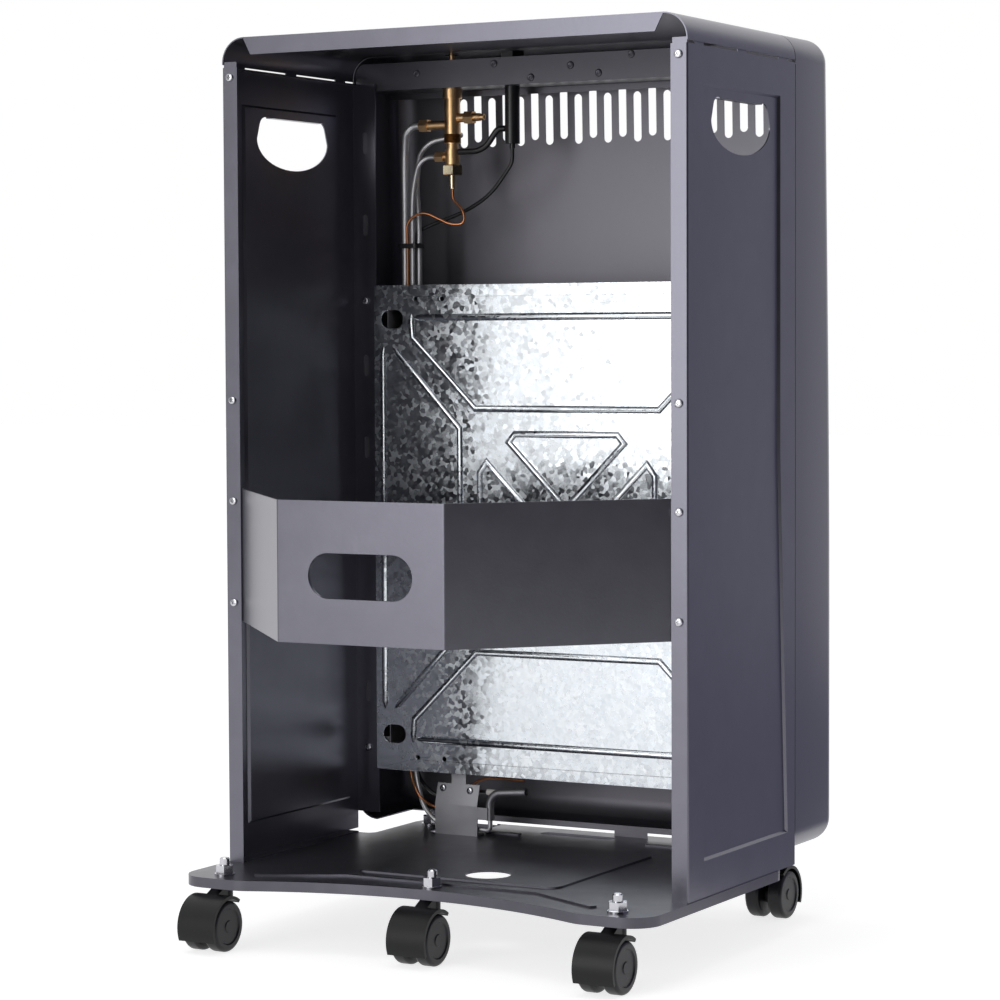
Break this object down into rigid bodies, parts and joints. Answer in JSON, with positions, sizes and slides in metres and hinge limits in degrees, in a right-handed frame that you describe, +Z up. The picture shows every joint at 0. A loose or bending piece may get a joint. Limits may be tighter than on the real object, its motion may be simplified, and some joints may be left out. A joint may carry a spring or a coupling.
{
  "type": "portable gas cabinet heater",
  "caption": "Upright steel cabinet heater on twin-wheel castors, open at the rear: bottle bay with strap, spangled heat shield, gas valve, tubes and pressed side panels with hand holds.",
  "frame": {"origin": "on the floor, below the middle of the bounding box", "axes": "+X to the right seen from the radiant front, -Y towards the front, +Z up"},
  "size_m": [0.414, 0.416, 0.741],
  "materials": {
    "cabinet_paint": "satin powder coat, dark violet grey",
    "galvanised": "bright spangled zinc",
    "plain_steel": "bare pressed steel",
    "plaque_ceramic": "matt perforated firebrick",
    "chrome_wire": "bright plated wire",
    "brass": "turned brass",
    "tube_alloy": "drawn aluminium tube",
    "copper": "bare copper capillary",
    "black_lead": "black sleeve",
    "black_plastic": "moulded black plastic",
    "zinc_screw": "bright zinc plate",
    "castor_plastic": "moulded black nylon",
    "insulator": "white glazed ceramic"
  },
  "bodies": {
    "cabinet": {"base_tray": "cabinet_paint", "side_panel_right": "cabinet_paint", "side_panel_left": "cabinet_paint", "top_cover": "cabinet_paint", "front_fascia": "cabinet_paint", "control_rail": "cabinet_paint", "bottle_strap": "cabinet_paint", "heat_shield": "galvanised", "burner_box": "plain_steel", "burner_left": "plain_steel", "burner_centre": "plain_steel", "burner_right": "plain_steel", "plaque_left": "plaque_ceramic", "plaque_centre": "plaque_ceramic", "plaque_right": "plaque_ceramic", "wire_guard": "chrome_wire", "gas_manifold": "brass", "injectors": "brass", "gas_valve": "brass", "magnet_unit": "brass", "gas_inlet": "brass", "main_tube": "tube_alloy", "pilot_tube": "tube_alloy", "union_nuts": "brass", "thermocouple": "copper", "igniter_lead": "black_lead", "igniter_cable": "black_lead", "tube_tie": "black_plastic", "pilot_bracket": "plain_steel", "pilot_burner": "plain_steel", "spark_electrode": "insulator", "piezo_body": "black_plastic", "control_bezel": "black_plastic", "cabinet_screws": "zinc_screw", "castor_stems": "zinc_screw", "castor_nuts": "zinc_screw"},
    "valve_rotor": {"valve_rotor": "brass"},
    "control_knob": {"control_knob": "black_plastic", "valve_spindle": "brass"},
    "igniter_button": {"piezo_button": "black_plastic"},
    "castor_rear_left": {"hood_rear_left": "castor_plastic", "axle_rear_left": "zinc_screw"},
    "wheel_rear_left_left": {"wheel_rear_left_left": "castor_plastic"},
    "wheel_rear_left_right": {"wheel_rear_left_right": "castor_plastic"},
    "castor_rear_centre": {"hood_rear_centre": "castor_plastic", "axle_rear_centre": "zinc_screw"},
    "wheel_rear_centre_left": {"wheel_rear_centre_left": "castor_plastic"},
    "wheel_rear_centre_right": {"wheel_rear_centre_right": "castor_plastic"},
    "castor_rear_right": {"hood_rear_right": "castor_plastic", "axle_rear_right": "zinc_screw"},
    "wheel_rear_right_left": {"wheel_rear_right_left": "castor_plastic"},
    "wheel_rear_right_right": {"wheel_rear_right_right": "castor_plastic"},
    "castor_front_left": {"hood_front_left": "castor_plastic", "axle_front_left": "zinc_screw"},
    "wheel_front_left_left": {"wheel_front_left_left": "castor_plastic"},
    "wheel_front_left_right": {"wheel_front_left_right": "castor_plastic"},
    "castor_front_right": {"hood_front_right": "castor_plastic", "axle_front_right": "zinc_screw"},
    "wheel_front_right_left": {"wheel_front_right_left": "castor_plastic"},
    "wheel_front_right_right": {"wheel_front_right_right": "castor_plastic"}
  },
  "joints": [
    {"name": "knob_turn", "type": "hinge", "parent": "cabinet", "child": "valve_rotor", "pos_m": [0.118, -0.14, 0.72], "axis": [0, 0, 1], "range_deg": [0, 210]},
    {"name": "knob_press", "type": "slide", "parent": "valve_rotor", "child": "control_knob", "axis": [0, 0, -1], "range_m": [0, 0.0035], "stiffness_N_per_m": 1500, "springref_m": -0.001},
    {"name": "igniter_press", "type": "slide", "parent": "cabinet", "child": "igniter_button", "axis": [0, 0, -1], "range_m": [0, 0.006], "stiffness_N_per_m": 1200, "springref_m": -0.002},
    {"name": "swivel_rear_left", "type": "hinge", "parent": "cabinet", "child": "castor_rear_left", "pos_m": [-0.174, 0.131, 0.044], "axis": [0, 0, 1], "continuous": true},
    {"name": "roll_rear_left_left", "type": "hinge", "parent": "castor_rear_left", "child": "wheel_rear_left_left", "pos_m": [-0.184, 0.149, 0.02], "axis": [1, 0, 0], "continuous": true},
    {"name": "roll_rear_left_right", "type": "hinge", "parent": "castor_rear_left", "child": "wheel_rear_left_right", "pos_m": [-0.164, 0.149, 0.02], "axis": [1, 0, 0], "continuous": true},
    {"name": "swivel_rear_centre", "type": "hinge", "parent": "cabinet", "child": "castor_rear_centre", "pos_m": [0, 0.104, 0.044], "axis": [0, 0, 1], "continuous": true},
    {"name": "roll_rear_centre_left", "type": "hinge", "parent": "castor_rear_centre", "child": "wheel_rear_centre_left", "pos_m": [-0.01, 0.122, 0.02], "axis": [1, 0, 0], "continuous": true},
    {"name": "roll_rear_centre_right", "type": "hinge", "parent": "castor_rear_centre", "child": "wheel_rear_centre_right", "pos_m": [0.01, 0.122, 0.02], "axis": [1, 0, 0], "continuous": true},
    {"name": "swivel_rear_right", "type": "hinge", "parent": "cabinet", "child": "castor_rear_right", "pos_m": [0.174, 0.131, 0.044], "axis": [0, 0, 1], "continuous": true},
    {"name": "roll_rear_right_left", "type": "hinge", "parent": "castor_rear_right", "child": "wheel_rear_right_left", "pos_m": [0.164, 0.149, 0.02], "axis": [1, 0, 0], "continuous": true},
    {"name": "roll_rear_right_right", "type": "hinge", "parent": "castor_rear_right", "child": "wheel_rear_right_right", "pos_m": [0.184, 0.149, 0.02], "axis": [1, 0, 0], "continuous": true},
    {"name": "swivel_front_left", "type": "hinge", "parent": "cabinet", "child": "castor_front_left", "pos_m": [-0.158, -0.166, 0.044], "axis": [0, 0, 1], "continuous": true},
    {"name": "roll_front_left_left", "type": "hinge", "parent": "castor_front_left", "child": "wheel_front_left_left", "pos_m": [-0.168, -0.184, 0.02], "axis": [1, 0, 0], "continuous": true},
    {"name": "roll_front_left_right", "type": "hinge", "parent": "castor_front_left", "child": "wheel_front_left_right", "pos_m": [-0.148, -0.184, 0.02], "axis": [1, 0, 0], "continuous": true},
    {"name": "swivel_front_right", "type": "hinge", "parent": "cabinet", "child": "castor_front_right", "pos_m": [0.158, -0.166, 0.044], "axis": [0, 0, 1], "continuous": true},
    {"name": "roll_front_right_left", "type": "hinge", "parent": "castor_front_right", "child": "wheel_front_right_left", "pos_m": [0.148, -0.184, 0.02], "axis": [1, 0, 0], "continuous": true},
    {"name": "roll_front_right_right", "type": "hinge", "parent": "castor_front_right", "child": "wheel_front_right_right", "pos_m": [0.168, -0.184, 0.02], "axis": [1, 0, 0], "continuous": true}
  ]
}
